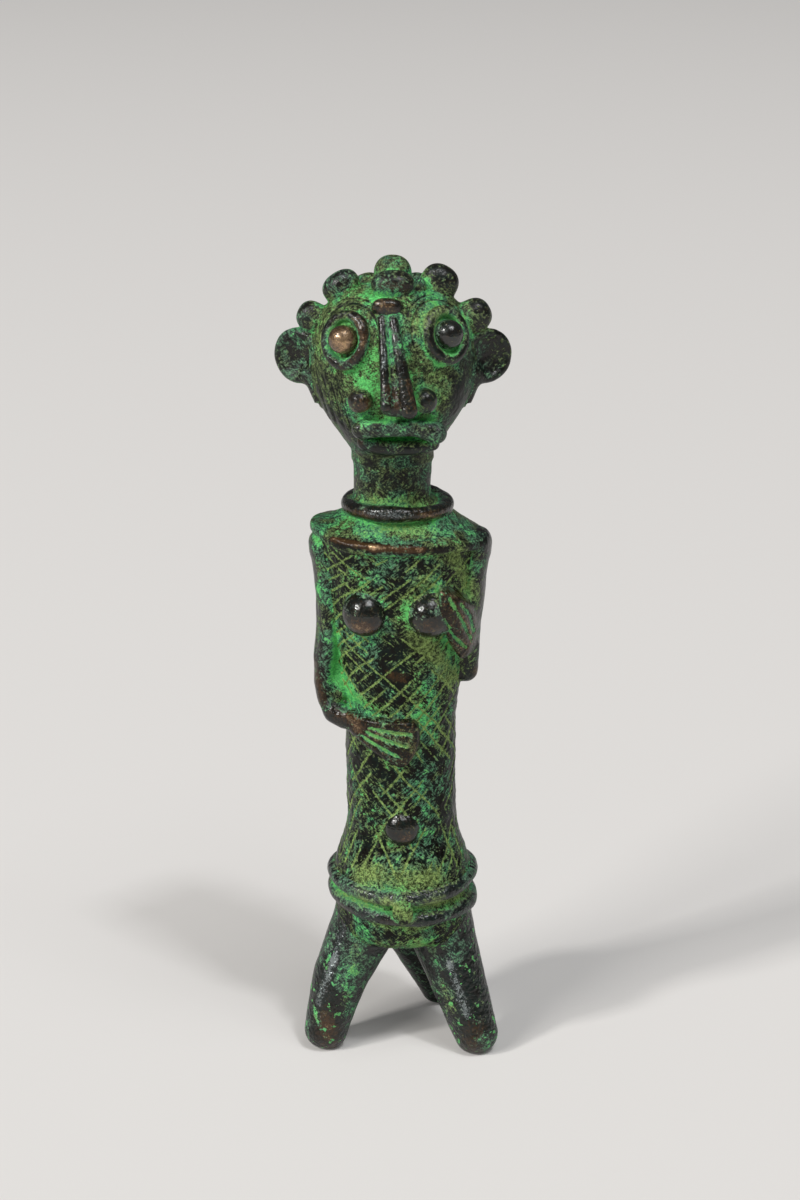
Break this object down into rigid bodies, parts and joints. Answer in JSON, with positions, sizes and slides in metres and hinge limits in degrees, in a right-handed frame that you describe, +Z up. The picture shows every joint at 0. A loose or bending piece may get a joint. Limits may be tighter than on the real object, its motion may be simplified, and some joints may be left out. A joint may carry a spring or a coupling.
{
  "type": "bronze statue",
  "caption": "Standing lost-wax figure: tapering tube trunk with applied coils, domes, arms and hands, a knob-haired head, and short splayed legs with a rear support.",
  "frame": {"origin": "on the standing surface, under the middle of the figure's overall width and depth", "axes": "+Z up the figure, -Y the way it faces, so +X is towards its own left side"},
  "size_m": [0.0362, 0.0306, 0.1304],
  "materials": {
    "malachite": "matt green patina over cast bronze",
    "dark_green": "satin dark green patina over cast bronze",
    "olive": "dusty yellow-green patina over cast bronze",
    "dark_bronze": "smooth dark bronze, polished by handling",
    "worn_bronze": "brown bronze, worn bright on the high points"
  },
  "bodies": {
    "root": {"trunk": "malachite", "shoulder_cap": "dark_green", "neck": "dark_green", "neck_coil": "dark_bronze", "head": "malachite", "right_ear": "dark_bronze", "left_ear": "dark_bronze", "right_eye_ring": "worn_bronze", "left_eye_ring": "worn_bronze", "right_eyeball": "worn_bronze", "left_eyeball": "worn_bronze", "right_nostril": "worn_bronze", "left_nostril": "worn_bronze", "nose": "worn_bronze", "upper_lip": "dark_bronze", "lower_lip": "dark_green", "forehead_pellet": "worn_bronze", "crest_front_knob": "dark_bronze", "crest_top_knob": "dark_green", "crest_back_knob": "dark_bronze", "crest_nape_knob": "dark_bronze", "right_temple_knob": "dark_bronze", "left_temple_knob": "dark_bronze", "right_side_knob": "dark_bronze", "left_side_knob": "dark_bronze", "right_rear_knob": "dark_bronze", "left_rear_knob": "dark_bronze", "right_armlet": "malachite", "left_armlet": "dark_green", "right_arm": "malachite", "left_arm": "dark_green", "right_wrist_band": "dark_bronze", "right_hand": "dark_bronze", "left_hand": "dark_bronze", "right_breast": "dark_bronze", "left_breast": "dark_bronze", "navel": "dark_bronze", "upper_belt_coil": "dark_green", "lower_belt_coil": "dark_green", "belt_join": "olive", "right_leg": "malachite", "left_leg": "malachite", "rear_support": "dark_green"}
  },
  "joints": []
}
